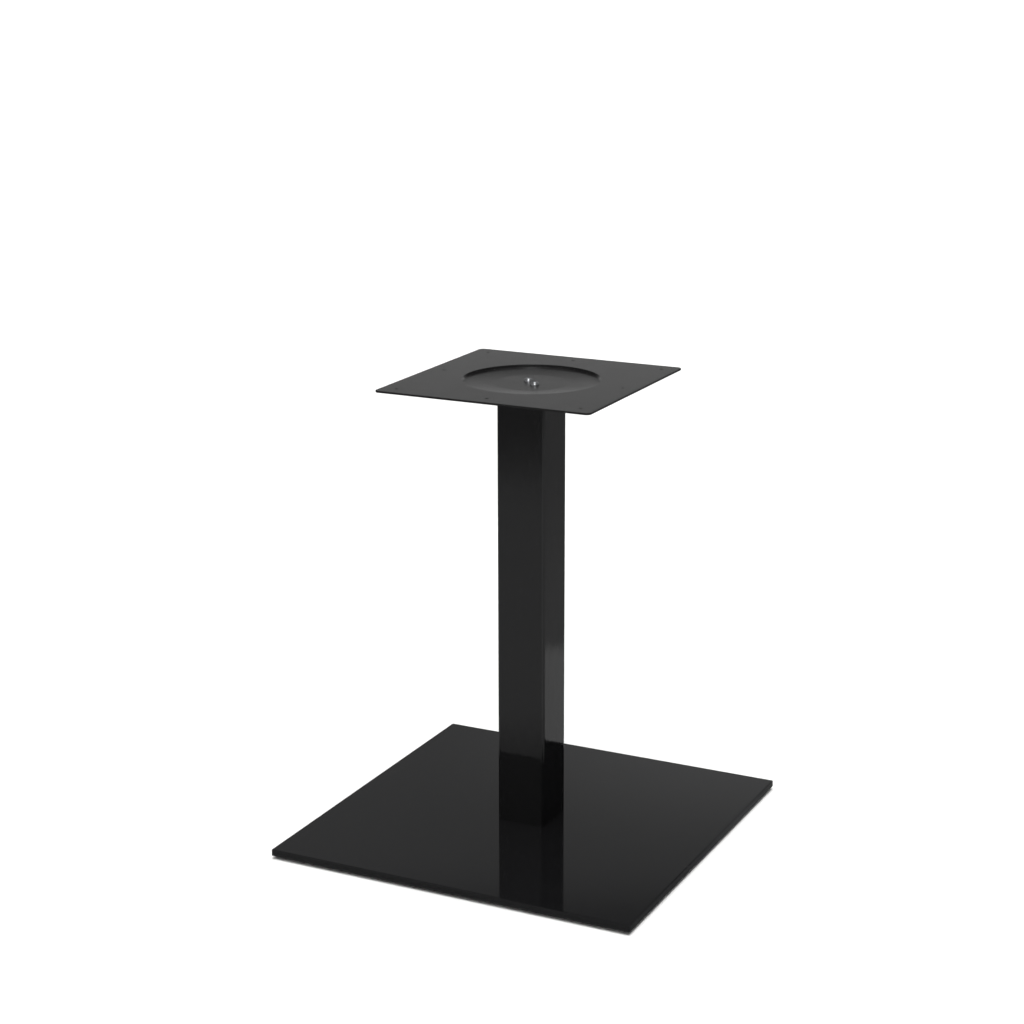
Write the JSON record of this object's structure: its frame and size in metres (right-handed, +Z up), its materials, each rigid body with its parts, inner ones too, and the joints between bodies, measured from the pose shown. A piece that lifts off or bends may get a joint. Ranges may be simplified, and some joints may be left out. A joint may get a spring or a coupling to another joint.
{
  "type": "table base",
  "caption": "Flat pedestal table base: a square steel foot plate on levelling glides carries a square column and a pressed, dished top plate drilled to take a table top.",
  "frame": {"origin": "on the floor, under the middle of the column", "axes": "+Z up along the column; X and Y along the sides of the square plates"},
  "size_m": [0.6, 0.6, 0.725],
  "materials": {
    "gloss_black": "gloss black powder coat on steel",
    "satin_black": "satin black powder coat on steel sheet",
    "zinc": "bright zinc plate on steel",
    "plain_steel": "mill finish",
    "glide_plastic": "moulded, matt"
  },
  "bodies": {
    "base": {"foot_plate": "gloss_black", "column_tube": "gloss_black", "column_foot_flange": "plain_steel", "column_head_bridge": "plain_steel", "top_plate": "satin_black", "top_screw_1": "zinc", "top_screw_2": "zinc", "foot_screw_1": "zinc", "foot_screw_2": "zinc", "foot_screw_3": "zinc", "foot_screw_4": "zinc"},
    "glide_1": {"glide_pad_1": "glide_plastic", "glide_stud_1": "zinc"},
    "glide_2": {"glide_pad_2": "glide_plastic", "glide_stud_2": "zinc"},
    "glide_3": {"glide_pad_3": "glide_plastic", "glide_stud_3": "zinc"},
    "glide_4": {"glide_pad_4": "glide_plastic", "glide_stud_4": "zinc"}
  },
  "joints": [
    {"name": "glide_1_screw", "type": "slide", "parent": "base", "child": "glide_1", "axis": [0, 0, -1], "range_m": [0, 0.004]},
    {"name": "glide_2_screw", "type": "slide", "parent": "base", "child": "glide_2", "axis": [0, 0, -1], "range_m": [0, 0.004]},
    {"name": "glide_3_screw", "type": "slide", "parent": "base", "child": "glide_3", "axis": [0, 0, -1], "range_m": [0, 0.004]},
    {"name": "glide_4_screw", "type": "slide", "parent": "base", "child": "glide_4", "axis": [0, 0, -1], "range_m": [0, 0.004]}
  ]
}
